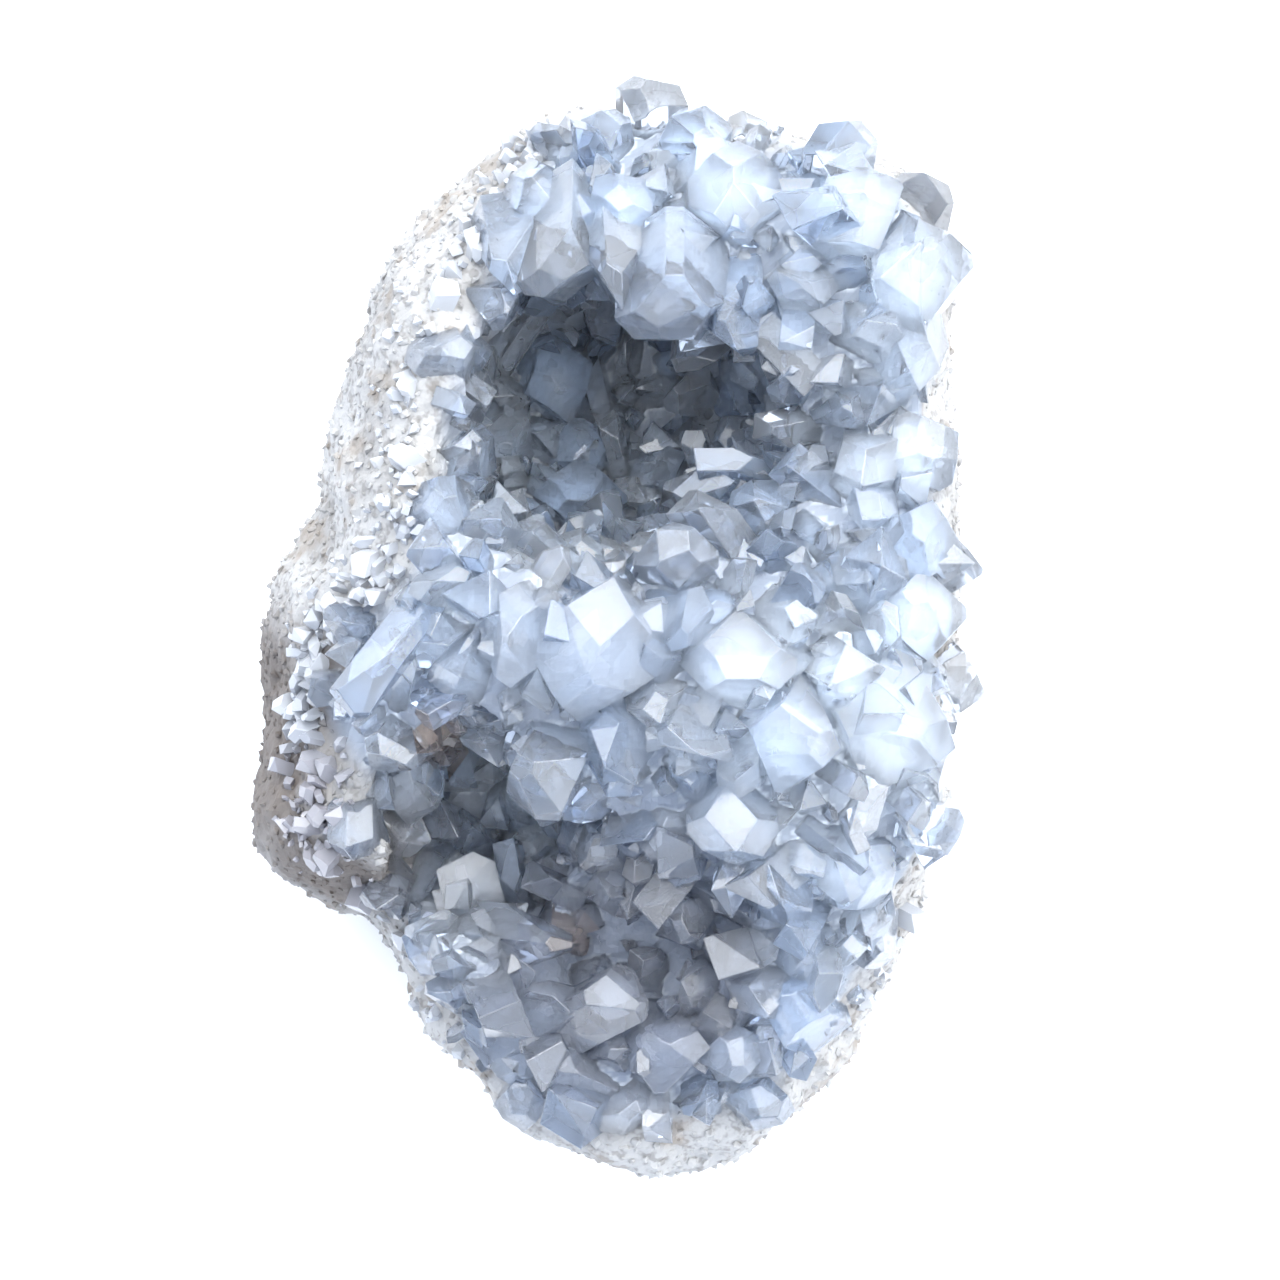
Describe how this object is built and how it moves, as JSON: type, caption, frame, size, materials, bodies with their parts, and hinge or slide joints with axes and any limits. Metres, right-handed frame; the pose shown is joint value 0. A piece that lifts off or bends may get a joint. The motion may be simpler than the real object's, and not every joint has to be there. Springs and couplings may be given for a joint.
{
  "type": "celestite geode",
  "caption": "Celestite geode lying on its back: a pale host rock, its broken face and hollows lined with a crust of clear blue-grey crystals.",
  "frame": {"origin": "on the surface that the stone rests on, under the middle of its outline", "axes": "+Z out of the crystal face, +Y along the stone towards the broad end with the deep hollow, +X to the right of the face"},
  "size_m": [0.0874, 0.1306, 0.066],
  "materials": {
    "pale_rock": "rough, chalky, speckled white and grey",
    "celestite": "clear to milky pale blue crystal faces"
  },
  "bodies": {
    "root": {"host_rock": "pale_rock", "celestite_crust": "celestite"}
  },
  "joints": []
}
